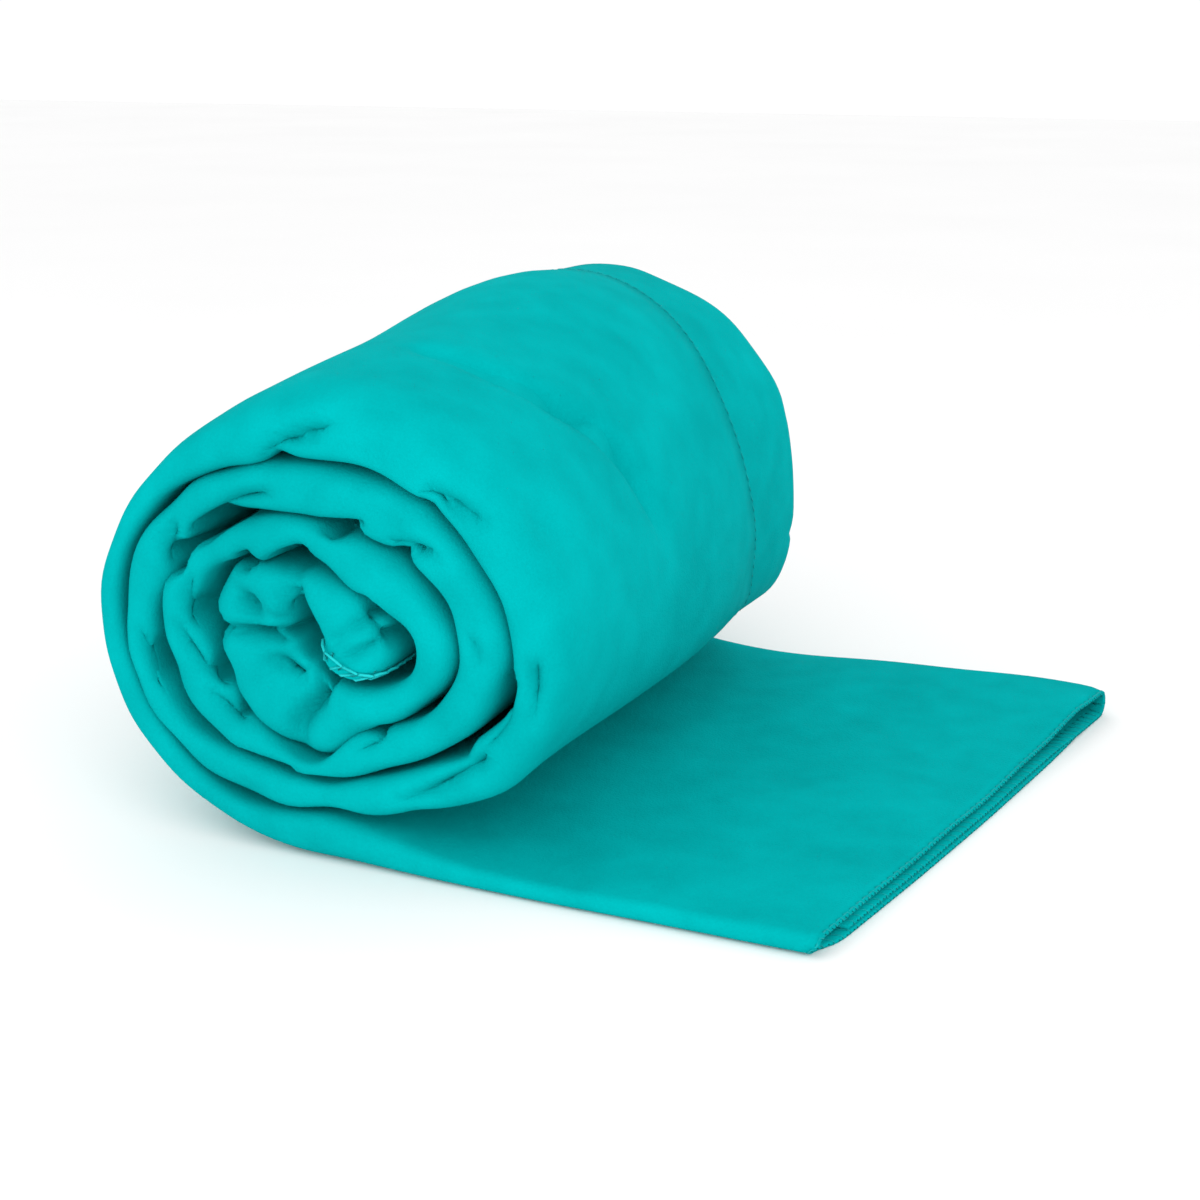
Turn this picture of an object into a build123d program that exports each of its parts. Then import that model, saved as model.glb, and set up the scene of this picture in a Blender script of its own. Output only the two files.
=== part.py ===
"""Quick dry towel, folded lengthwise in three, rolled up loosely, with its free end left out flat.

Frame: millimetres, +Z up. The origin is on the floor under the middle of the roll. The roll's axis lies
along Y, from the front end at -Y to the back end at +Y, and the free end runs out along +X.

The cloth is one sheet, 500 by 1000. It is folded in three into a strip: the face panel on top, the back
flap folded under it, and the front flap folded under both. The strip is followed from the floor, round
the roll and on into its core. Its depth is measured up from the side that lies on the floor.
"""

import os
from math import pi

from build123d import *

# Cloth and fold.
strip_width = 180.0  # the width of the folded strip, and so the length of the roll
cloth = 1.2  # thickness of the cloth with its nap
layer_gap = 1.0  # air between two layers of the strip
layer_pitch = cloth + layer_gap
strip_thickness = 2 * layer_pitch + cloth
front_y = -strip_width / 2
back_y = strip_width / 2
front_flap_edge_y = 63.0  # the front flap reaches most of the way to the back fold
back_flap_edge_y = -77.0  # the back flap stops just short of the front fold

# Overlocked edges: the last millimetres of the cloth, bound in thread.
overlock_width = 4.0
overlock_thickness = 1.6

# Roll: quarter turns that get smaller, with a short flat at its top and bottom.
outer_radius = 57.0
quarter_step = 3.2  # what each quarter turn loses in radius
quarter_turns = 17
flat_run = 11.8
curl_x = -3.0  # where the strip leaves the floor on its way round the roll

# Free end on the floor. Its short edge is a little out of square.
crease_x = 42.0  # the free end lifts about a line here
free_end_front_x = 122.0
free_end_back_x = 147.0
body_gap = 0.3  # air between two pieces that move against each other

# Hanging loop, sewn inside the core's last turn at the back end of the roll.
webbing_width = 10.0
webbing = 1.0
core_floor_z = (quarter_turns - 1) * quarter_step  # the outer side of the strip under the loop
loop_x = curl_x + flat_run / 2
loop_root_z = core_floor_z + strip_thickness + webbing / 2
loop_root_y = 72.0  # the sewn end
loop_bend = 2.2  # radius where the webbing turns down, to its middle
foot_bend = 3.8  # and at the loop's foot
pinch_depth = 4.4  # between the middles of the two legs at the press stud
loop_turn_y = 91.0  # where the webbing turns down
inner_leg_y = loop_turn_y + loop_bend
foot_y = inner_leg_y + 2 * foot_bend
outer_leg_y = inner_leg_y + pinch_depth
loop_hinge_z = loop_root_z - loop_bend
loop_foot_z = 31.0
pinch_z = 41.0  # the outer leg leans in up to here, and is upright above
outer_leg_top_z = 54.0
bartack_size = (8.0, 1.6, 0.5)
bartack_places = (75.0, 85.0)

# Press stud on the loop.
snap_z = 48.0
snap_radius = 4.25
flange_height = 0.8
post_radius = 1.5
post_height = 2.6  # from the inner leg, through the flange
socket_bore = 1.9
socket_height = 2.3
cap_radius = 4.75
cap_height = 1.5
cap_rounding = 1.0
post_rounding = 0.4
back_plate_height = 0.6
rim_break = 0.2

os.makedirs("parts", exist_ok=True)


def save(part, name):
    part.label = name
    export_step(part, f"parts/{name}.step")


def fold_outline(thickness, front_edge_y, back_edge_y):
    """Adds the folded strip's section, across its width and up through its depth."""
    top = 2 * layer_pitch + thickness
    Polygon(
        (back_y, top),
        (front_y, top),
        (front_y, 0),
        (front_edge_y, 0),
        (front_edge_y, thickness),
        (front_y + thickness, thickness),
        (front_y + thickness, 2 * layer_pitch),
        (back_y - thickness, 2 * layer_pitch),
        (back_y - thickness, layer_pitch + thickness),
        (back_edge_y, layer_pitch + thickness),
        (back_edge_y, layer_pitch),
        (back_y, layer_pitch),
        align=None,
    )


def cloth_outline():
    fold_outline(cloth, front_flap_edge_y - overlock_width, back_flap_edge_y + overlock_width)


def bound_edge_outline():
    fold_outline(overlock_thickness, front_flap_edge_y, back_flap_edge_y)


def front_flap_band_outline():
    with Locations((front_flap_edge_y, 0)):
        Rectangle(overlock_width, overlock_thickness, align=(Align.MAX, Align.MIN))


def back_flap_band_outline():
    with Locations((back_flap_edge_y, layer_pitch)):
        Rectangle(overlock_width, overlock_thickness, align=(Align.MIN, Align.MIN))


# The strip's route on its outer side: along the floor to the roll, and round into the core.
with BuildLine(Plane.XZ) as route:
    run = Line((crease_x - body_gap, 0), (curl_x, 0))
    for quarter in range(quarter_turns):
        turn_radius = outer_radius - quarter * quarter_step
        run = JernArc(start=run @ 1, tangent=run % 1, radius=turn_radius, arc_size=-90)
        if quarter % 2 == 1:
            run = Line(run @ 1, run @ 1 + run % 1 * flat_run)

with BuildLine(Plane.XZ) as inner_end_route:
    Line(run @ 1, run @ 1 + run % 1 * overlock_width)

start_plane = Plane(origin=route.line @ 0, x_dir=(0, 1, 0), z_dir=(1, 0, 0))
inner_end_plane = Plane(origin=run @ 1, x_dir=(0, 1, 0), z_dir=(0, 0, -1))

# The cloth and its bound edges where the towel is rolled up.
for name, outline in (
    ("rolled_cloth", cloth_outline),
    ("front_flap_overlock_rolled", front_flap_band_outline),
    ("back_flap_overlock_rolled", back_flap_band_outline),
):
    with BuildPart() as rolled:
        with BuildSketch(start_plane):
            outline()
        sweep(path=route.line)
    save(rolled.part, name)

with BuildPart() as inner_end_overlock:
    with BuildSketch(inner_end_plane):
        bound_edge_outline()
    extrude(amount=-overlock_width)
save(inner_end_overlock.part, "inner_end_overlock")


def free_end_outline(edge_inset, mode=Mode.ADD):
    """Adds the free end seen from above, out to edge_inset short of its slanting edge."""
    Polygon(
        (crease_x, front_y),
        (free_end_front_x - edge_inset, front_y),
        (free_end_back_x - edge_inset, back_y),
        (crease_x, back_y),
        align=None,
        mode=mode,
    )


# The same where it lies flat, as the free end.
tail_plane = Plane(origin=(crease_x, 0, 0), x_dir=(0, 1, 0), z_dir=(1, 0, 0))
tail_length = free_end_back_x - crease_x
for name, outline in (
    ("tail_cloth", cloth_outline),
    ("front_flap_overlock_flat", front_flap_band_outline),
    ("back_flap_overlock_flat", back_flap_band_outline),
):
    with BuildPart() as flat:
        with BuildSketch(tail_plane):
            outline()
        extrude(amount=tail_length)
        with BuildSketch():
            free_end_outline(overlock_width)
        extrude(amount=2 * strip_thickness, mode=Mode.INTERSECT)
    save(flat.part, name)

with BuildPart() as outer_end_overlock:
    with BuildSketch(tail_plane):
        bound_edge_outline()
    extrude(amount=tail_length)
    with BuildSketch():
        free_end_outline(0)
        free_end_outline(overlock_width, mode=Mode.SUBTRACT)
    extrude(amount=2 * strip_thickness, mode=Mode.INTERSECT)
save(outer_end_overlock.part, "outer_end_overlock")


# The hanging loop's webbing: sewn inside the core, out of it and down, then back up to the press stud.
loop_side = Plane.YZ.offset(loop_x - webbing_width / 2)

with BuildPart() as loop_root_strap:
    with BuildSketch(loop_side):
        with BuildLine():
            run = Line((loop_root_y, loop_root_z), (loop_turn_y, loop_root_z))
            JernArc(start=run @ 1, tangent=run % 1, radius=loop_bend, arc_size=-90)
        trace(line_width=webbing)
    extrude(amount=webbing_width)
save(loop_root_strap.part, "loop_root_strap")

with BuildPart() as loop_bartacks:
    with Locations(*[(loop_x, y, loop_root_z + webbing / 2) for y in bartack_places]):
        Box(*bartack_size, align=(Align.CENTER, Align.CENTER, Align.MIN))
save(loop_bartacks.part, "loop_bartacks")

with BuildPart() as loop_inner_leg:
    with BuildSketch(loop_side):
        with BuildLine():
            run = Line((inner_leg_y, loop_hinge_z - body_gap), (inner_leg_y, loop_foot_z))
            JernArc(start=run @ 1, tangent=run % 1, radius=foot_bend, arc_size=180)
        trace(line_width=webbing)
    extrude(amount=webbing_width)
save(loop_inner_leg.part, "loop_inner_leg")

with BuildPart() as loop_outer_leg:
    with BuildSketch(loop_side):
        with BuildLine():
            Polyline(
                (foot_y, loop_foot_z + 2 * body_gap),
                (outer_leg_y, pinch_z),
                (outer_leg_y, outer_leg_top_z),
            )
        trace(line_width=webbing)
    extrude(amount=webbing_width)
save(loop_outer_leg.part, "loop_outer_leg")


# The press stud: stud and back plate on the inner leg, socket and cap on the outer one.
def snap_plane(y):
    return Plane(origin=(loop_x, y, snap_z), x_dir=(1, 0, 0), z_dir=(0, 1, 0))


with BuildPart() as snap_back_plate:
    with BuildSketch(snap_plane(inner_leg_y - webbing / 2)):
        Circle(snap_radius)
    extrude(amount=-back_plate_height)
    chamfer(snap_back_plate.faces().sort_by(Axis.Y)[0].edges(), rim_break)
save(snap_back_plate.part, "snap_back_plate")

with BuildPart() as snap_stud:
    with BuildSketch(snap_plane(inner_leg_y + webbing / 2)):
        Circle(snap_radius)
    extrude(amount=flange_height)
    with BuildSketch(snap_plane(inner_leg_y + webbing / 2)):
        Circle(post_radius)
    extrude(amount=post_height)
    fillet(snap_stud.faces().sort_by(Axis.Y)[-1].edges(), post_rounding)
save(snap_stud.part, "snap_stud")

with BuildPart() as snap_socket:
    with BuildSketch(snap_plane(outer_leg_y - webbing / 2)):
        Circle(snap_radius)
        Circle(socket_bore, mode=Mode.SUBTRACT)
    extrude(amount=-socket_height)
    chamfer(snap_socket.faces().sort_by(Axis.Y)[0].edges(), rim_break)
save(snap_socket.part, "snap_socket")

with BuildPart() as snap_cap:
    with BuildSketch(snap_plane(outer_leg_y + webbing / 2)):
        Circle(cap_radius)
    extrude(amount=cap_height)
    fillet(snap_cap.faces().sort_by(Axis.Y)[-1].edges(), cap_rounding)
save(snap_cap.part, "snap_cap")

strip_length = sum(edge.length for edge in route.line.edges()) - quarter_turns * pi / 4 * strip_thickness
tail_middle = (free_end_front_x + free_end_back_x) / 2 - crease_x + body_gap
print("towel length", strip_length + overlock_width + tail_middle)
front_flap = front_flap_edge_y - front_y
back_flap = back_y - back_flap_edge_y
print("towel width", strip_width + front_flap + back_flap)
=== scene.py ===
"""How the quick dry towel looks: one sheet of microfibre, folded in three, rolled up and left out flat.

Lengths are millimetres until a mesh is made, and then metres. The strip is the towel folded in three. It
is followed from its free end, in under the roll and round into the core. Its depth is measured from its
outer side, the one that lies on the floor. A winding angle is in degrees: 0 under the roll's centre, 90 at
its left, 180 at its top, and on through every turn.
"""

from math import cos, sin

import bpy
import numpy as np
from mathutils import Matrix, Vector


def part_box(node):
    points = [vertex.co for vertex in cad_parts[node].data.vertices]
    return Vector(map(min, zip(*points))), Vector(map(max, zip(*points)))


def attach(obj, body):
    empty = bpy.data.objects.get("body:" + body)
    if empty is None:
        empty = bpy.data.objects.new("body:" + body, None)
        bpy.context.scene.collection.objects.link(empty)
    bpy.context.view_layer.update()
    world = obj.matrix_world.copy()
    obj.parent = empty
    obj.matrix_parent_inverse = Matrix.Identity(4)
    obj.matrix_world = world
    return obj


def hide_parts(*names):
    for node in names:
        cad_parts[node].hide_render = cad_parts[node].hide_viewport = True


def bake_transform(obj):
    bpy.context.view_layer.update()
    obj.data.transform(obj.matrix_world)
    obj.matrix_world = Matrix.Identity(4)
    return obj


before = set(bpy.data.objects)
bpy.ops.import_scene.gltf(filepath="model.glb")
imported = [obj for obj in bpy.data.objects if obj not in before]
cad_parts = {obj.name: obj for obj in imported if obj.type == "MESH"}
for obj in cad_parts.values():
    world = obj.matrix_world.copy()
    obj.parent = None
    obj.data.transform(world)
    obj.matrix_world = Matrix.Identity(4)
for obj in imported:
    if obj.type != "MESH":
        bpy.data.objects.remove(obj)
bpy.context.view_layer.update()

MM = 0.001


def node_box(node):
    """The lowest and highest corners of a CAD node, in millimetres."""
    low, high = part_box(node)
    return np.array(low) / MM, np.array(high) / MM


# Places taken from the CAD frame.
roll_low, roll_high = node_box("rolled_cloth")
front_y, back_y = roll_low[1], roll_high[1]
end_low, end_high = node_box("outer_end_overlock")
overlock_width = 4.0
free_end_front_x = end_low[0] + overlock_width
free_end_back_x = end_high[0] + 1.0
front_flap_edge_y = node_box("front_flap_overlock_rolled")[1][1]
back_flap_edge_y = node_box("back_flap_overlock_rolled")[0][1]

# Cloth and its fold.
cloth_thickness = 1.0
half_cloth = 0.6  # from the strip's outer side to the middle of its outermost layer
back_flap_inset = 0.1  # how much deeper the back flap's middle is than the front flap's
flap_overlap = 1.4  # from the front flap's middle to the back flap's under it
flap_step = 0.6  # and the same at the front flap's edge, which is pressed down
flap_sink = 0.45  # how far in that edge is pressed
flap_slope = 18.0  # and how far from the edge that starts
flap_drift = (250, 38, 18)  # where the front flap is narrower: winding angle, reach and how far

# How far a fold's halves reach in from its tip: share of the strip's depth, least and most.
outer_half_reach = (0.75, 2.2, 9)
inner_half_reach = (0.5, 2.0, 5)
back_fold_reach = (0.6, 2.0, 6)
rim_squareness = 0.75  # below 1 the front fold is flatter than half an ellipse
nose_share = 0.5  # how deep in the strip the front fold's tip is
drawn_out = (215, 60)  # winding angle and reach of the outer turn's top, where the front fold is drawn out
drawn_out_reach = 9.0
drawn_out_nose = 0.3

# Winding. Radius of the strip's outer side from the roll's centre every 30 degrees, a row for each turn:
# from the floor under the centre, round the left, the top and the right. The last row is the hollow.
roll_centre_z = 55.0
radius_step = 30.0
turn_radii = [
    [55, 55.5, 59, 59.6, 55.1, 53.4, 55.3, 58, 61, 63, 58, 46.5],
    [43.4, 48.5, 50.6, 52.7, 48.3, 41.4, 39.3, 42.8, 46.7, 49.3, 41.6, 35.7],
    [34.9, 37.3, 43.6, 42, 36, 29.1, 26.5, 28, 32, 36.3, 30.5, 24.8],
    [29.8, 28.2, 27.4, 29.8, 26.1, 16.8, 15.6, 14.9, 17.4, 21, 20, 11],
    [6, 4.5, 4.5, 5.5, 5, 4.5, 4, 1.6, 0.8, 1, 3, 8],
]
full_turn = 360.0
inner_end_angle = 1390.0
end_skew = 34.0  # how much further round the strip's inner side goes than its outer side
skew_angles = (1300, 1382)  # where this sets in
turn_gap = 0.8
wide_gaps = [(297, 18, 2.0), (990, 20, 5.0)]  # at the right of the roll and of its core: angle, reach, width
free_end_depth = 5.0
under_roll_reach = 28.0  # how far out from the roll's centre the strip is still puffed up
far_corner_lift = 4.0  # how much the free end's back fold is puffed up at its corner
far_lift_x, far_lift_y = (30, 140), (100, 175)  # where that rises, out from the roll and from the front
under_layer_reach = 1.6  # how far the free end's under layers stick out past the face panel
under_corner_pull = 2.5  # and how far they are drawn in at the front corner
corner_rounding = 3.0
front_edge_pull = 1.5  # how far its front corner is pulled in
tail_wave_height = 0.45

# The body of the roll is taller and narrower than its front end.
body_rows = (4, 134)  # where this sets in, from the front
body_rise = 0.085  # a share of its height
body_shift = 7.0  # how far its upper part leans to the left
body_swells = [(34, 32, 1.9), (122, 42, 2.8)]  # its top's: distance from the front, reach and height
body_bulge = (305, 22, 2.4)  # fills out low down over the free end: winding angle, reach and how far
bulge_loss = 0.3  # how much of that is gone towards the back
body_tucks = [(215, 30, 1.5), (276, 26, 2.3)]  # drawn in at the back: winding angle, reach and depth
tuck_rows = (100, 160)  # where these set in, from the front

# Creases and waves.
outer_rim_waves, inner_rim_waves = 0.2, 0.7  # the front rims' wave heights
outer_wave_height = 0.5
outer_wave_radius = 50.0
back_wave_height = 0.8
fade_reach = 16.0  # how far in from the ends their creases go
wound_angle = 40.0  # from here on the strip has them in full
most_pushed = 0.35  # how far a crease goes in, at most, as a share of the strip's depth


def rise(value, start, end):
    """0 up to start, 1 from end on and smooth between them. The end may be the lower one."""
    t = np.clip((value - start) / (end - start), 0, 1)
    return t * t * (3 - 2 * t)


def bump(value, centre, reach, height=1.0):
    return height * np.exp(-(((value - centre) / reach) ** 2))


def radius_at(angle):
    """The strip's outer radius at a winding angle, by a smooth curve through the table."""
    table = np.array([turn_radii[0][0]] + sum(turn_radii, []) + [turn_radii[-1][-1]] * 2, float)
    last_place = len(table) - 4.001  # just inside the last stretch that has four values
    place = np.clip(angle / radius_step, 0, last_place)
    k = place.astype(int)
    f = place - k
    before, here, there, after = table[k], table[k + 1], table[k + 2], table[k + 3]
    slope_here = (there - before) / 2
    slope_there = (after - here) / 2
    return (
        (2 * f**3 - 3 * f**2 + 1) * here
        + (f**3 - 2 * f**2 + f) * slope_here
        + (3 * f**2 - 2 * f**3) * there
        + (f**3 - f**2) * slope_there
    )


def gap_at(angle):
    """Air between a turn and the next one in."""
    return turn_gap + sum(bump(angle, *gap) for gap in wide_gaps)


def strip_depth_at(angle, x):
    wound = radius_at(angle) - radius_at(angle + full_turn) - gap_at(angle)
    flat = free_end_depth + bump(x, 0, under_roll_reach, wound - free_end_depth)
    return np.where(x > 0, flat, wound)


# Columns of the cloth's grid, along the strip: flat ones first, then wound ones that get closer together.
flat_step = 3.6
wound_step, inner_end_step = 2.4, 1.3
least_radius = 8.0
middle_depth = 5.0  # from the strip's outer side to where a wound step is measured


def column_places():
    """For each column its share of the way out to the free end, and its winding angle in degrees."""
    flat_count = int(free_end_back_x / flat_step)
    shares = [1 - k / flat_count for k in range(flat_count)]
    angles = [0.0] * flat_count
    angle = 0.0
    while angle < inner_end_angle:
        shares.append(0.0)
        angles.append(angle)
        middle = float(radius_at(np.array(angle)) - middle_depth)
        step = wound_step + (inner_end_step - wound_step) * angle / inner_end_angle
        angle += np.degrees(step / max(middle, least_radius))
    shares.append(0.0)
    angles.append(inner_end_angle)
    return np.array(shares), np.array(angles)


def spaced(start, end, count):
    return np.linspace(start, end, count, endpoint=False)


# Rows of the grid, across the cloth: front flap, front fold, face panel, back fold and back flap. Shares of
# each one's width. The flap's are closer where the dent over the roll is, and then towards the fold.
dent_start, dent_end = 0.54, 0.82
front_face_share = 0.09
flap_rows = np.concatenate(
    [
        spaced(0, dent_start, 8),
        spaced(dent_start, dent_end, 15),
        1 - (1 - dent_end) * spaced(1, 0, 11) ** 1.6,
    ]
)
fold_rows = spaced(0, 1, 22)
face_rows = np.concatenate([spaced(0, front_face_share, 9), spaced(front_face_share, 1, 15)])
back_fold_rows = spaced(0, 1, 8)
back_flap_rows = np.linspace(0, 1, 13)


def far_lift(x, y):
    """How much the layers over the free end's back fold are puffed up."""
    return far_corner_lift * rise(x, *far_lift_x) * rise(y - front_y, *far_lift_y)


def fold_reach(depth, share, least, most):
    return np.clip(share * depth, least, most)


def strip_section(angle, x, depth):
    """Where each row of a column is, as y and depth in the strip."""
    outer_top = bump(angle, *drawn_out)
    reach_out = fold_reach(depth, *outer_half_reach) + drawn_out_reach * outer_top
    reach_in = fold_reach(depth, *inner_half_reach)
    reach_back = fold_reach(depth, *back_fold_reach)
    nose = depth * (nose_share + drawn_out_nose * outer_top)
    low, high = half_cloth, depth - half_cloth
    back_low = low + back_flap_inset
    flap_edge = front_flap_edge_y - bump(angle, *flap_drift)
    ys, depths = [], []

    for t in flap_rows:
        y = flap_edge + (front_y + reach_out - flap_edge) * t
        ys.append(y)
        depths.append(low + flap_sink * rise(y, flap_edge - flap_slope, flap_edge))

    for t in fold_rows:
        reach, side = (reach_out, low) if t < 0.5 else (reach_in, high)
        out_share = abs(cos(np.pi * t)) ** rim_squareness
        fore_share = sin(np.pi * t) ** rim_squareness
        ys.append(front_y + reach * (1 - fore_share))
        depths.append(nose + (side - nose) * out_share)

    for t in face_rows:
        y = front_y + reach_in + (back_y - reach_back - front_y - reach_in) * t
        ys.append(y)
        depths.append(high + far_lift(x, y))

    high_back = high + far_lift(x, back_y - reach_back)
    middle = (high_back + back_low) / 2
    for t in back_fold_rows:
        ys.append(back_y - reach_back * (1 - sin(np.pi * t)))
        depths.append(middle + (high_back - middle) * cos(np.pi * t))

    for t in back_flap_rows:
        y = back_y - reach_back + (back_flap_edge_y - back_y + reach_back) * t
        step = flap_step + (flap_overlap - flap_step) * rise(y, flap_edge, flap_edge - flap_slope)
        under = rise(y, flap_edge + flap_slope, flap_edge)
        fore_share = np.clip(1 - (y - front_y) / reach_out, 0, 1) ** (1 / rim_squareness)
        sunk = (nose - low) * (1 - (1 - fore_share**2) ** (rim_squareness / 2))
        ys.append(y)
        depths.append(back_low + (low + step - back_low) * under + sunk)
    return np.stack(ys, axis=1), np.stack(depths, axis=1)


# Creases in the front end's rims: points (x, z) from the deep end, how deep, and half the width.
front_creases = [
    ([(0, 101), (7.5, 105)], 6.5, 1.9),
    ([(0, 101), (-4, 98.7), (-8, 95.6)], 6.5, 1.7),
    ([(33, 90.6), (39.5, 88.5), (46.5, 85.6)], 6, 1.7),
    ([(56.5, 54.5), (57.3, 50), (57.2, 44.5)], 5, 1.7),
    ([(50, 50), (49, 43), (45, 36)], 5, 1.6),
    ([(-28, 76), (-23.6, 79.4), (-17.4, 83.6), (-10.4, 86.8)], 8, 1.8),
    ([(-35.7, 67), (-36, 71.7), (-36.7, 76.7)], 8, 1.7),
    ([(-43, 41), (-44.6, 45.8), (-47, 48.5)], 8, 1.7),
    ([(6, 80.5), (15, 83.3)], 7, 1.4),
    ([(24, 77.5), (28, 78), (33, 78)], 7, 1.6),
    ([(42, 58.6), (43.5, 55)], 3, 1.4),
    ([(-8, 21.5), (-19, 24)], 5, 1.6),
    ([(43, 31.4), (39, 29.9), (30.7, 22.2), (24.8, 19.2)], 7, 1.7),
    ([(17, 33.7), (15.3, 31.7), (13.2, 29.3)], 5, 1.5),
    ([(-17, 69), (-15.5, 73)], 7, 1.5),
    ([(-2, 73.6), (-9, 70.6)], 7, 1.5),
    ([(-26.6, 52.8), (-31, 55.6), (-32, 58.7), (-32.5, 63.4)], 9, 1.8),
    ([(-24.7, 41.2), (-30.6, 44.3), (-33.7, 48), (-36, 52)], 9, 1.7),
    ([(-20.3, 33.6), (-24.7, 35), (-29, 36.5)], 7, 2.0),
    ([(-8, 53.8), (-14, 54.2), (-19, 53.7), (-25, 53)], 12, 1.4),
    ([(-15, 60), (-19.5, 62.2)], 10, 2.5),
    ([(-2.5, 61), (-4, 68)], 8, 1.9),
    ([(-4, 47), (-10, 48.2)], 9, 1.7),
    ([(-2.3, 44.3), (-6.8, 43.4), (-10.8, 44.8)], 3, 2.4),
    ([(3.5, 45), (1.8, 40), (-1.6, 36.6), (-3.5, 33.6), (-4.4, 29.6)], 12, 1.9),
    ([(17, 61), (15.5, 65)], 7, 2.0),
    ([(21, 56.5), (18, 58)], 8, 1.9),
    ([(15, 60), (11, 58), (7, 54.5)], 4, 1.9),
    ([(17, 55), (14, 53.8), (10, 51)], 5, 1.2),
]
crease_tip = 0.35  # what is left of a crease's depth at its shallow end
crease_sharpness = 1.4
# Swells between them: place, reach and height.
front_swells = [
    ((-9, 37), 7, 3.0),
    ((-15, 48), 5, 2.0),
    ((14, 41), 9, 2.0),
    ((-6.5, 62), 2.6, 3.0),
    ((-15, 95), 6, 1.0),
    ((10, 57.5), 2.5, 2.0),
    ((5, 63), 5, 1.0),
    ((48, 85), 4, 1.0),
    ((22, 85), 4, -1.5),
]

# Dents in the outer turn: points (winding angle, distance from the front fold), how deep, half the width.
outer_dents = [
    ([(234, 60), (221, 49), (206, 43), (189, 43)], 7.0, 2.8),
    ([(234, 60), (241, 64), (257, 69)], 7.0, 3.4),
    ([(241, 13), (247, 16)], 3.6, 5.5),
    ([(286, 140), (293, 150)], 1.8, 7.0),
]


def crease_depth(x, z, creases):
    """How far the creases push the cloth in at each place, the deepest one counting."""
    total = np.zeros_like(x)
    for points, deep, half_width in creases:
        points = np.array(points, float)
        lengths = np.hypot(*np.diff(points, axis=0).T)
        travelled = np.concatenate([[0], np.cumsum(lengths)]) / lengths.sum()
        for k, length in enumerate(lengths):
            from_x, from_z = x - points[k, 0], z - points[k, 1]
            run_x, run_z = points[k + 1] - points[k]
            along = np.clip((from_x * run_x + from_z * run_z) / length**2, 0, 1)
            away = np.hypot(from_x - along * run_x, from_z - along * run_z)
            t = travelled[k] + along * (travelled[k + 1] - travelled[k])
            here = deep * (1 - (1 - crease_tip) * t**2) * np.exp(-((away / half_width) ** crease_sharpness))
            total = np.maximum(total, here)
    return total


def swell_height(x, z, swells):
    total = np.zeros_like(x)
    for (at_x, at_z), reach, height in swells:
        total += bump(np.hypot(x - at_x, z - at_z), 0, reach, height)
    return total


def waves(seed, count, low, high):
    """A sum of smooth waves over a plane, as a function of two coordinates, about 1 high."""
    rng = np.random.default_rng(seed)
    directions = rng.uniform(0, 2 * np.pi, count)
    lengths = rng.uniform(low, high, count)
    phases = rng.uniform(0, 2 * np.pi, count)

    def height(a, b):
        total = np.zeros_like(a)
        for direction, length, phase in zip(directions, lengths, phases):
            total += np.sin(2 * np.pi * (a * cos(direction) + b * sin(direction)) / length + phase)
        return total / np.sqrt(count)

    return height


# Seed, number of waves, shortest and longest one.
rim_waves = waves(3, 7, 14, 40)
back_waves = waves(5, 9, 12, 34)
outer_waves = waves(11, 8, 50, 140)
tail_waves = waves(17, 8, 35, 110)


def place_on_roll(angle, radius):
    """A place on the roll, as x and z."""
    return -radius * np.sin(np.radians(angle)), roll_centre_z - radius * np.cos(np.radians(angle))


# Lowest and highest value of each thing that is random in a crease of the back end.
crease_angles = (80, 1250)
crease_slants = (-14, 14)  # how much further round the crease's other end is
crease_reaches = (0.35, 0.8)  # its length as a share of the strip's depth
crease_depths = (3, 7)
crease_half_widths = (1.2, 2.2)


def random_creases(seed, count):
    """Creases across the back end's rims, which the photograph doesn't show."""
    rng = np.random.default_rng(seed)
    creases = []
    for _ in range(count):
        angle = rng.uniform(*crease_angles)
        inner, outer = radius_at(np.array([angle + full_turn, angle]))
        slant = rng.uniform(*crease_slants)
        reach = rng.uniform(*crease_reaches)
        share = np.array([0.0, 0.5, 1.0])
        x, z = place_on_roll(angle + slant * share, inner + (outer - inner) * reach * share)
        creases.append((list(zip(x, z)), rng.uniform(*crease_depths), rng.uniform(*crease_half_widths)))
    return creases


back_creases = random_creases(21, 34)


def crease_front(angle, turned, depth, y, d):
    """The section's y and depths with the front end's creases, swells and waves pressed in."""
    # Inwards, across the fold: from the outer layers down and from the inner layers up.
    along_y, along_d = np.gradient(y, axis=1), np.gradient(d, axis=1)
    length = np.hypot(along_y, along_d)
    in_y, in_d = along_d / length, -along_y / length

    x, z = place_on_roll(angle, radius_at(turned) - d)
    wave_height = outer_rim_waves + (inner_rim_waves - outer_rim_waves) * rise(turned, 180, full_turn)
    pushed = crease_depth(x, z, front_creases) - swell_height(x, z, front_swells)
    pushed += wave_height * rim_waves(x, z)
    pushed *= bump(y - front_y, 0, fade_reach) * rise(angle, 0, wound_angle)
    most = most_pushed * depth
    return y + pushed * np.maximum(in_y, 0), d + np.clip(pushed, -most, most) * in_d


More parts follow.
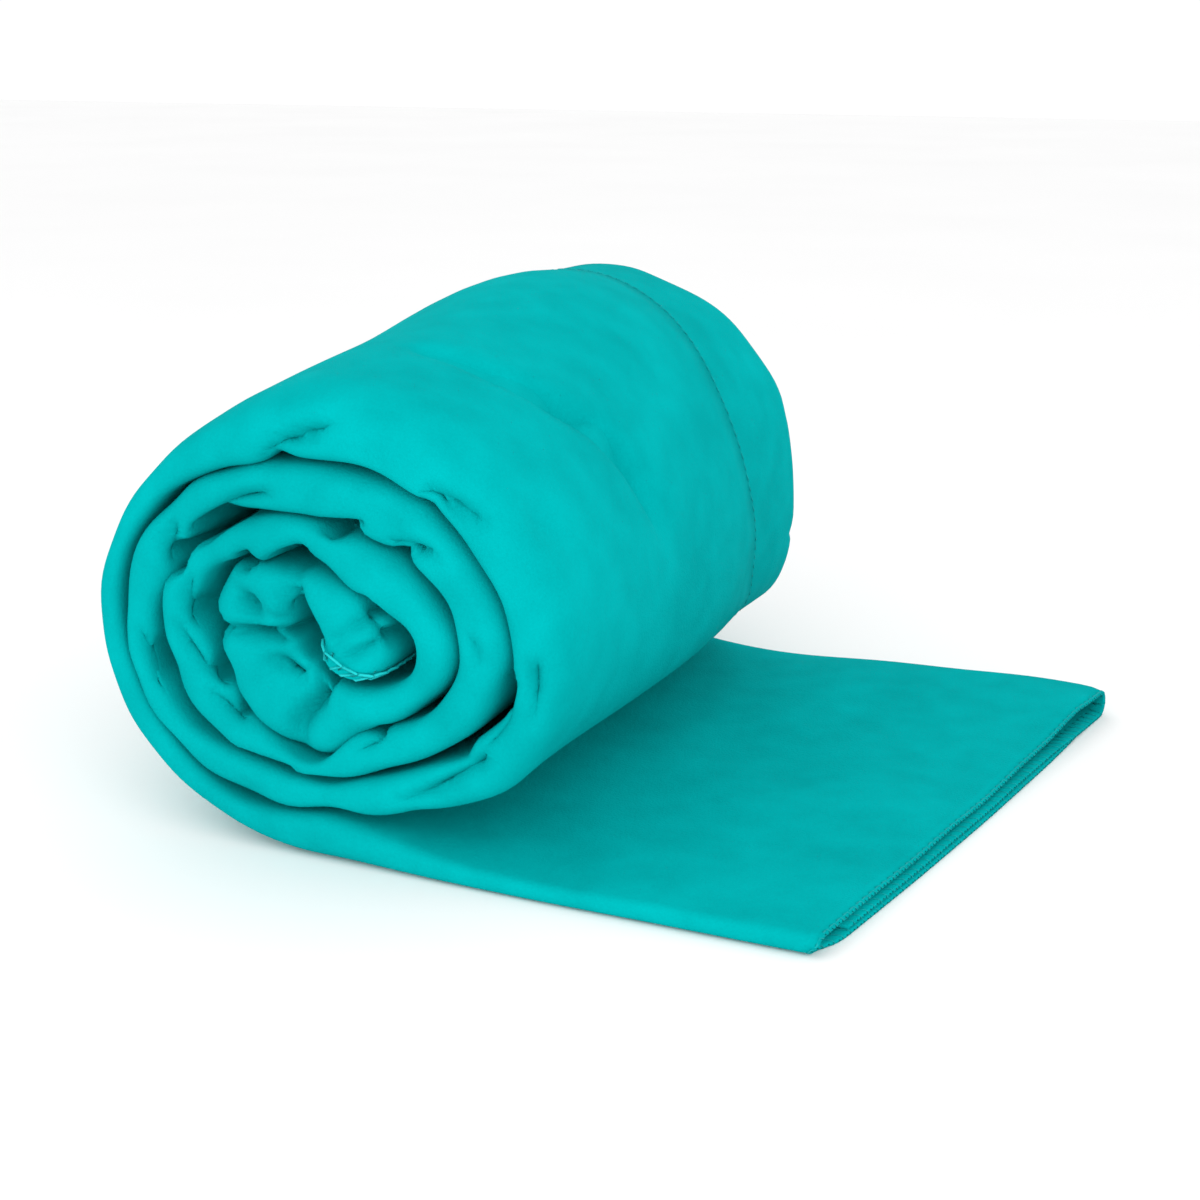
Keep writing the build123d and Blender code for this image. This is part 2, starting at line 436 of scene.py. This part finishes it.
def roll_surface(angle, turned, y, d):
    """The roll's x and z, with its slow waves and the shape of its body."""
    from_front = y - front_y
    towards_back = rise(from_front, *tuck_rows)
    off_floor = rise(angle, 25, 85)  # the floor side stays flat
    around = np.radians(angle) * outer_wave_radius
    radius = radius_at(turned) - d + outer_wave_height * off_floor * outer_waves(around, y)
    for tuck in body_tucks:
        radius = radius - towards_back * bump(angle, *tuck)
    x, z = place_on_roll(angle, radius)

    body = rise(from_front, *body_rows)
    x = x - body_shift * body * rise(z, 15, 65)
    x = x + body * bump(angle, *body_bulge) * (1 - bulge_loss * towards_back)
    z = z * (1 + body_rise * body * rise(z, 0, 60))
    for swell in body_swells:
        z = z + bump(from_front, *swell) * rise(from_front, 2, 14) * rise(z, 60, 110)
    return x, z


def free_end_surface(share, across, through, y, d):
    """The free end's x and z. It lies flat on the floor, and its layers end one under the other."""
    end_x = free_end_front_x + (free_end_back_x - free_end_front_x) * across
    drawn_in = bump(y, front_y + 2, 5, under_corner_pull)
    end_x += rise(through, 0.6, 0.3) * (under_layer_reach * np.sin(np.pi * across) - drawn_in)
    x = share * end_x
    return x, d + tail_wave_height * through * tail_waves(x, y) * rise(x, 25, 65)


def towel_grid():
    """The cloth's middle surface as a grid of points, columns along it and rows across it."""
    shares, angles = column_places()
    flat_x = shares * (free_end_front_x + free_end_back_x) / 2
    depths = strip_depth_at(angles, flat_x)
    y, d = strip_section(angles, flat_x, depths)
    share, turned, depth = (values[:, None] + 0 * y for values in (shares, angles, depths))
    through = d / depth
    angle = turned + end_skew * (through - 0.5) * rise(turned, *skew_angles)

    dented = (angle > 90) & (angle < full_turn)
    dents = crease_depth(angle, y - front_y, outer_dents) * (1 - through) * dented
    y, d = crease_front(angle, turned, depth, y, d)
    d = d + dents
    across = (y - front_y) / (back_y - front_y)
    rolled = roll_surface(angle, turned, y, d)
    x, z = np.where(share > 0, free_end_surface(share, across, through, y, d), rolled)
    y = y + front_edge_pull * share * (1 - across)
    y = y - corner_rounding * rise(share, 0.955, 1) ** 2 * rise(across, 0.85, 1)

    pushed = crease_depth(x, z, back_creases) + back_wave_height * back_waves(x, z)
    y = y - pushed * rise(angle, 0, wound_angle) * bump(np.minimum(y, back_y), back_y, fade_reach)
    return np.stack([x, y, z], axis=-1)


def mesh_object(name, points, faces):
    """A smooth mesh object from points in millimetres."""
    mesh = bpy.data.meshes.new(name)
    mesh.from_pydata((np.asarray(points) * MM).tolist(), [], faces)
    mesh.update()
    mesh.polygons.foreach_set("use_smooth", [True] * len(mesh.polygons))
    piece = bpy.data.objects.new(name, mesh)
    bpy.context.scene.collection.objects.link(piece)
    return piece


def grid_faces(columns, rows, wrap=False):
    """Quads over a grid of points. With wrap, each column is a closed ring."""
    index = np.arange(columns * rows).reshape(columns, rows)
    if wrap:
        index = np.concatenate([index, index[:, :1]], axis=1)
    quads = np.stack([index[:-1, :-1], index[:-1, 1:], index[1:, 1:], index[1:, :-1]], axis=-1)
    return quads.reshape(-1, 4).tolist()


def apply_modifiers(piece):
    """Replaces the piece's mesh with what its modifiers make of it."""
    bpy.context.view_layer.update()
    evaluated = piece.evaluated_get(bpy.context.evaluated_depsgraph_get())
    mesh = bpy.data.meshes.new_from_object(evaluated)
    piece.modifiers.clear()
    piece.data = mesh


grid = towel_grid()
towel = mesh_object("towel_cloth", grid.reshape(-1, 3), grid_faces(*grid.shape[:2]))
solid = towel.modifiers.new("thickness", "SOLIDIFY")
solid.thickness = cloth_thickness * MM
solid.offset = 0
apply_modifiers(towel)


# Overlocked edges.
stitch_pitch = 3.2
stitch_reach = 3.8  # how far in from the edge the stitches go
flat_reach = 0.6  # and on the side that shows where the cloth is pressed
thread_lift = cloth_thickness / 2 + 0.1
edge_wrap = 0.35  # how far outside the edge the thread goes round it
flat_thread, thick_thread = 0.15, 0.36


def tube_mesh(paths, radius, sides=4):
    """Points and faces of thin tubes along lines of points."""
    points, faces = [], []
    around = np.linspace(0, 2 * np.pi, sides, endpoint=False)
    for path in paths:
        path = np.asarray(path, float)
        along = np.gradient(path, axis=0)
        along /= np.linalg.norm(along, axis=1, keepdims=True) + 1e-9
        guide = np.where(np.abs(along[:, 2:]) < 0.9, [[0, 0, 1.0]], [[1.0, 0, 0]])
        side = np.cross(along, guide)
        side /= np.linalg.norm(side, axis=1, keepdims=True)
        up = np.cross(side, along)
        ring = path[:, None] + radius * (
            side[:, None] * np.cos(around)[:, None] + up[:, None] * np.sin(around)[:, None]
        )
        start = len(points)
        points += ring.reshape(-1, 3).tolist()
        quads = grid_faces(len(path), sides, wrap=True)
        faces += [[start + corner for corner in quad] for quad in quads]
        last = start + len(path) * sides
        faces.append(list(range(start + sides - 1, start - 1, -1)))
        faces.append(list(range(last - sides, last)))
    return points, faces


def overlock_threads(name, edge, inner, face_side, face_reach, radius):
    """Threads over a cloth edge, which is a line of grid points with the next line in beside it.

    face_side is 1 or -1, for the side of the cloth that shows, where the stitches reach in less far.
    """
    inwards = inner - edge
    inwards /= np.linalg.norm(inwards, axis=1, keepdims=True)
    outwards = face_side * np.cross(np.gradient(edge, axis=0), inwards)
    outwards /= np.linalg.norm(outwards, axis=1, keepdims=True)
    travelled = np.concatenate([[0], np.cumsum(np.linalg.norm(np.diff(edge, axis=0), axis=1))])
    starts = (np.arange(int(travelled[-1] / stitch_pitch)) + 0.1) * stitch_pitch

    def thread(steps):
        """A line through each stitch's steps: how far along it, how far in from the edge, and how high."""
        ahead, inset, lift = (np.tile(column, len(starts))[:, None] for column in zip(*steps))
        s = np.repeat(starts, len(steps)) + ahead[:, 0] * stitch_pitch
        base, into, out = (
            np.stack([np.interp(s, travelled, values) for values in lines.T], axis=1)
            for lines in (edge, inwards, outwards)
        )
        return base + inset * into + lift * out

    looper = [
        (0, face_reach, thread_lift),
        (0.4, 0.2, thread_lift),
        (0.5, -edge_wrap, 0),
        (0.6, 0.2, -thread_lift),
        (0.8, stitch_reach, -thread_lift),
        (0.95, -edge_wrap, 0),
    ]
    needle_inset = face_reach - 0.3
    needle = [(0, needle_inset, thread_lift - 0.05), (0.5, needle_inset, thread_lift - 0.3)]
    return mesh_object(name, *tube_mesh([thread(looper), thread(needle)], radius))


front_threads = overlock_threads("front_flap_threads", grid[:, 0], grid[:, 1], -1, flat_reach, flat_thread)
back_threads = overlock_threads("back_flap_threads", grid[:, -1], grid[:, -2], 1, flat_reach, flat_thread)
outer_threads = overlock_threads("outer_end_threads", grid[0], grid[1], 1, flat_reach, flat_thread)
inner_threads = overlock_threads("inner_end_threads", grid[-1], grid[-2], -1, stitch_reach, thick_thread)

# Hanging loop: woven strap in three lengths, each along the middle of its CAD solid.
strap_thickness = 1.0
strap_step = 0.4
strap_rows = 37
weave_pitch = 1.1
weave_relief = 0.07


def arc(centre, radius, start, end, count=12):
    angles = np.radians(np.linspace(start, end, count))
    return [(centre[0] + radius * cos(a), centre[1] + radius * sin(a)) for a in angles]


def strap(name, line, x_low, x_high):
    """A woven strap along a line of (y, z) points, as wide as from x_low to x_high."""
    line = np.array(line, float)
    travelled = np.concatenate([[0], np.cumsum(np.hypot(*np.diff(line, axis=0).T))])
    s = np.arange(0, travelled[-1] + strap_step, strap_step).clip(0, travelled[-1])
    line = np.stack([np.interp(s, travelled, line[:, k]) for k in range(2)], axis=1)
    along = np.gradient(line, axis=0)
    along /= np.linalg.norm(along, axis=1, keepdims=True)
    normal = np.stack([-along[:, 1], along[:, 0]], axis=1)
    across = np.linspace(-1, 1, strap_rows)
    half_width = (x_high - x_low) / 2
    rounded = (1 - np.abs(across) ** 6) ** 0.5
    rings = []
    for side in (1, -1):
        weave = np.cos(2 * np.pi * (s[:, None] + side * np.abs(across) * half_width) / weave_pitch)
        height = side * (strap_thickness / 2 - weave_relief + weave_relief * weave) * rounded
        x = (x_low + x_high) / 2 + across[None, :] * half_width + 0 * height
        yz = line[:, None, :] + normal[:, None, :] * height[..., None]
        rings.append(np.concatenate([x[..., None], yz], axis=-1)[:, ::side])
    ring = np.concatenate([rings[0], rings[1][:, 1:-1]], axis=1)
    columns, rows = ring.shape[:2]
    faces = grid_faces(columns, rows, wrap=True)
    faces.append(list(range(rows)))
    faces.append([(columns - 1) * rows + k for k in reversed(range(rows))])
    return mesh_object(name, ring.reshape(-1, 3), faces)


half_strap = strap_thickness / 2
root_low, root_high = node_box("loop_root_strap")
inner_low, inner_high = node_box("loop_inner_leg")
outer_low, outer_high = node_box("loop_outer_leg")
cap_low = node_box("snap_cap")[0]
foot_bend = (inner_high[1] - inner_low[1]) / 2 - half_strap
foot_y = inner_low[1] + half_strap + foot_bend
foot_z = inner_low[2] + half_strap + foot_bend
root_z = root_high[2] - half_strap
turn_bend = root_z - root_low[2]
turn_y = root_high[1] - half_strap - turn_bend
outer_y = outer_low[1] + half_strap
pinch_z = cap_low[2] - 2.25  # where the outer leg has come up against the inner one

root_strap = strap(
    "loop_root_webbing",
    [(root_low[1], root_z)] + arc((turn_y, root_z - turn_bend), turn_bend, 90, 0),
    root_low[0],
    root_high[0],
)
inner_strap = strap(
    "loop_inner_webbing",
    [(inner_low[1] + half_strap, inner_high[2])] + arc((foot_y, foot_z), foot_bend, 180, 360, 24),
    inner_low[0],
    inner_high[0],
)
outer_strap = strap(
    "loop_outer_webbing",
    [(foot_y + foot_bend, outer_low[2] + 0.3), (outer_y, pinch_z), (outer_y, outer_high[2])],
    outer_low[0],
    outer_high[0],
)

# Its two bartacks, each one thread to and fro.
tack_low, tack_high = node_box("loop_bartacks")
tack_width = 1.6
tack_stitches = 33
tack_thread = 0.2
tack_margin = 0.15
tack_paths = []
for tack_y in (tack_low[1] + tack_width / 2, tack_high[1] - tack_width / 2):
    xs = np.linspace(tack_low[0] + tack_thread, tack_high[0] - tack_thread, tack_stitches)
    ys = tack_y + (tack_width / 2 - tack_margin) * np.where(np.arange(tack_stitches) % 2, 1, -1)
    tack_paths.append(np.stack([xs, ys, tack_low[2] + tack_margin + 0 * xs], axis=1))
tacks = mesh_object("loop_bartack_threads", *tube_mesh(tack_paths, tack_thread))

# Which CAD nodes each piece replaces and which body it rides on.
snap_nodes = ["snap_back_plate", "snap_stud", "snap_socket", "snap_cap"]
on_the_towel = [front_threads, back_threads, outer_threads, inner_threads, root_strap, inner_strap]
on_the_towel += [outer_strap, tacks] + [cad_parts[node] for node in snap_nodes]

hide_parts("rolled_cloth", "tail_cloth")
for piece, nodes in [
    (front_threads, ["front_flap_overlock_rolled", "front_flap_overlock_flat"]),
    (back_threads, ["back_flap_overlock_rolled", "back_flap_overlock_flat"]),
    (outer_threads, ["outer_end_overlock"]),
    (inner_threads, ["inner_end_overlock"]),
    (tacks, ["loop_bartacks"]),
]:
    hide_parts(*nodes)
for piece, node in [
    (root_strap, "loop_root_strap"),
    (inner_strap, "loop_inner_leg"),
    (outer_strap, "loop_outer_leg"),
]:
    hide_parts(node)
for piece in (towel, front_threads, back_threads):
    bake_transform(piece)
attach(outer_threads, "tail")
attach(inner_threads, "roll")
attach(tacks, "roll")
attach(root_strap, "roll")
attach(inner_strap, "hang_loop")
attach(outer_strap, "loop_flap")


class Material:
    """A material whose nodes are added one by one."""

    def __init__(self, name):
        self.material = bpy.data.materials.new(name)
        self.material.use_nodes = True
        self.tree = self.material.node_tree
        self.shader = self.tree.nodes["Principled BSDF"]
        self.place = self.add("ShaderNodeTexCoord").outputs["Object"]

    def add(self, kind, links=(), **values):
        """A node with its sockets and properties set, fed by pairs of an input's name and an output."""
        node = self.tree.nodes.new(kind)
        for name, value in values.items():
            if hasattr(node, name):
                setattr(node, name, value)
            else:
                node.inputs[name.replace("_", " ")].default_value = value
        for name, source in links:
            self.tree.links.new(source, node.inputs[name])
        return node

    def noise(self, scale, detail=3.0, place=None):
        node = self.add("ShaderNodeTexNoise", [("Vector", place or self.place)], Scale=scale, Detail=detail)
        return node.outputs["Fac"]

    def ramp(self, source, *stops):
        """Colours along a value, as pairs of a position and a colour."""
        node = self.add("ShaderNodeValToRGB", [("Fac", source)])
        elements = node.color_ramp.elements
        while len(elements) < len(stops):
            elements.new(0.5)
        for element, (position, color) in zip(elements, stops):
            element.position = position
            element.color = (*color, 1)
        return node.outputs["Color"]

    def math(self, operation, a, b):
        node = self.add("ShaderNodeMath", operation=operation)
        for socket, value in zip(node.inputs, (a, b)):
            if isinstance(value, (int, float)):
                socket.default_value = value
            else:
                self.tree.links.new(value, socket)
        return node.outputs["Value"]

    def bump(self, height, distance, strength, after=None):
        links = [("Height", height)] + ([("Normal", after)] if after else [])
        return self.add("ShaderNodeBump", links, Distance=distance, Strength=strength).outputs["Normal"]

    def finish(self, color, roughness, normal, **constants):
        for name, source in (("Base Color", color), ("Roughness", roughness), ("Normal", normal)):
            self.tree.links.new(source, self.shader.inputs[name])
        for name, value in constants.items():
            self.shader.inputs[name.replace("_", " ")].default_value = value
        return self.material


def gray(value):
    return (value, value, value)


def suede_material():
    """Brushed microfibre: a short nap, brushed in soft patches."""
    suede = Material("suede_microfibre")
    patches = suede.noise(28, 2.0)
    brushed = suede.noise(110, 4.0)
    nap = suede.noise(1500, 3.0)
    fibres = suede.noise(5200, 2.0)
    tone = suede.math("ADD", suede.math("MULTIPLY", patches, 0.45), suede.math("MULTIPLY", brushed, 0.35))
    tone = suede.math("ADD", tone, suede.math("MULTIPLY", nap, 0.2))
    dark, light = (0.0, 0.333, 0.34), (0.0, 0.406, 0.414)
    color = suede.ramp(tone, (0.36, dark), (0.64, light))
    roughness = suede.ramp(nap, (0.3, gray(0.86)), (0.7, gray(1.0)))
    normal = suede.bump(brushed, 0.0006, 0.35)
    normal = suede.bump(nap, 0.0003, 0.5, normal)
    normal = suede.bump(fibres, 0.0001, 0.4, normal)
    return suede.finish(
        color,
        roughness,
        normal,
        Specular_IOR_Level=0.01,
        Sheen_Weight=0.03,
        Sheen_Roughness=0.5,
        Sheen_Tint=(0.0, 0.9, 0.92, 1),
    )


def thread_material(name, dark, light):
    """Spun polyester thread, glossier than the cloth."""
    thread = Material(name)
    strands = thread.noise(2600, 2.0)
    shade = thread.noise(240, 2.0)
    color = thread.ramp(shade, (0.3, dark), (0.7, light))
    roughness = thread.ramp(strands, (0.3, gray(0.55)), (0.7, gray(0.75)))
    normal = thread.bump(strands, 0.00015, 0.6)
    return thread.finish(color, roughness, normal, Specular_IOR_Level=0.15)


def webbing_material():
    """Woven polyester strap, a darker teal, with its yarns catching the light."""
    webbing = Material("woven_webbing")
    yarns = webbing.noise(1800, 3.0)
    shade = webbing.noise(160, 2.0)
    color = webbing.ramp(shade, (0.3, (0.002, 0.2, 0.21)), (0.7, (0.004, 0.27, 0.28)))
    roughness = webbing.ramp(yarns, (0.3, gray(0.6)), (0.7, gray(0.85)))
    normal = webbing.bump(yarns, 0.0002, 0.6)
    return webbing.finish(color, roughness, normal, Specular_IOR_Level=0.2)


def snap_material():
    """Nickel plated steel, brushed and a little worn."""
    steel = Material("nickel_steel")
    stretched = steel.add("ShaderNodeMapping", [("Vector", steel.place)], Scale=(1, 1, 14)).outputs["Vector"]
    brushing = steel.noise(900, 4.0, stretched)
    wear = steel.noise(220, 3.0)
    color = steel.ramp(wear, (0.35, (0.5, 0.49, 0.47)), (0.65, (0.66, 0.65, 0.63)))
    roughness = steel.ramp(brushing, (0.3, gray(0.24)), (0.7, gray(0.4)))
    normal = steel.bump(brushing, 0.00004, 0.3)
    return steel.finish(color, roughness, normal, Metallic=1.0)


def floor_material():
    """Matt white backdrop paper."""
    paper = Material("backdrop_paper")
    tooth = paper.noise(700, 3.0)
    clouds = paper.noise(3, 2.0)
    color = paper.ramp(clouds, (0.2, gray(0.93)), (0.8, gray(0.96)))
    roughness = paper.ramp(tooth, (0.3, gray(0.85)), (0.7, gray(0.95)))
    normal = paper.bump(tooth, 0.0001, 0.1)
    return paper.finish(color, roughness, normal, Specular_IOR_Level=0.1)


# Materials on the pieces.
towel.data.materials.append(suede_material())
thread_look = thread_material("overlock_thread", (0.0, 0.34, 0.35), (0.002, 0.4, 0.41))
for piece in (front_threads, back_threads, outer_threads):
    piece.data.materials.append(thread_look)
loose_thread_look = thread_material("loose_thread", (0.004, 0.46, 0.47), (0.01, 0.6, 0.61))
for piece in (inner_threads, tacks):
    piece.data.materials.append(loose_thread_look)
webbing_look = webbing_material()
for piece in (root_strap, inner_strap, outer_strap):
    piece.data.materials.append(webbing_look)
steel_look = snap_material()
for node in snap_nodes:
    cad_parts[node].data.materials.clear()
    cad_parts[node].data.materials.append(steel_look)

# Studio.
floor_size = 8000.0
floor_corners = [(x, y, 0) for x, y in ((-1, -1), (1, -1), (1, 1), (-1, 1))]
floor = mesh_object("floor", np.array(floor_corners) * floor_size / 2, [[0, 1, 2, 3]])
floor.data.materials.append(floor_material())

world = bpy.data.worlds.new("studio")
bpy.context.scene.world = world
world.use_nodes = True
background = world.node_tree.nodes["Background"]
background.inputs["Color"].default_value = (1, 1, 1, 1)
background.inputs["Strength"].default_value = 1.03
bpy.context.scene.view_settings.view_transform = "Standard"

light_aim = Vector((0.03, 0, 0.05))


def area_light(name, place, size, energy):
    """A square light turned to the towel. Its place and size are in metres."""
    data = bpy.data.lights.new(name, "AREA")
    data.size = size
    data.energy = energy
    light = bpy.data.objects.new(name, data)
    light.location = place
    light.rotation_euler = (light_aim - light.location).to_track_quat("-Z", "Y").to_euler()
    bpy.context.scene.collection.objects.link(light)


area_light("key", (0.52, -0.6, 0.44), 0.6, 2.2)
area_light("fill", (-0.15, -0.75, 0.35), 0.8, 1.5)

# The camera stands where the photograph's did, and looks the same way.
camera_data = bpy.data.cameras.new("camera")
camera_data.lens = 57.0
camera_data.sensor_width = 36.0
camera = bpy.data.objects.new("camera", camera_data)
camera.location = (0.2297, -0.4326, 0.1851)
view_direction = Vector((-0.3997, 0.8709, -0.2862))
camera.rotation_euler = view_direction.to_track_quat("-Z", "Y").to_euler()
bpy.context.scene.collection.objects.link(camera)
bpy.context.scene.camera = camera
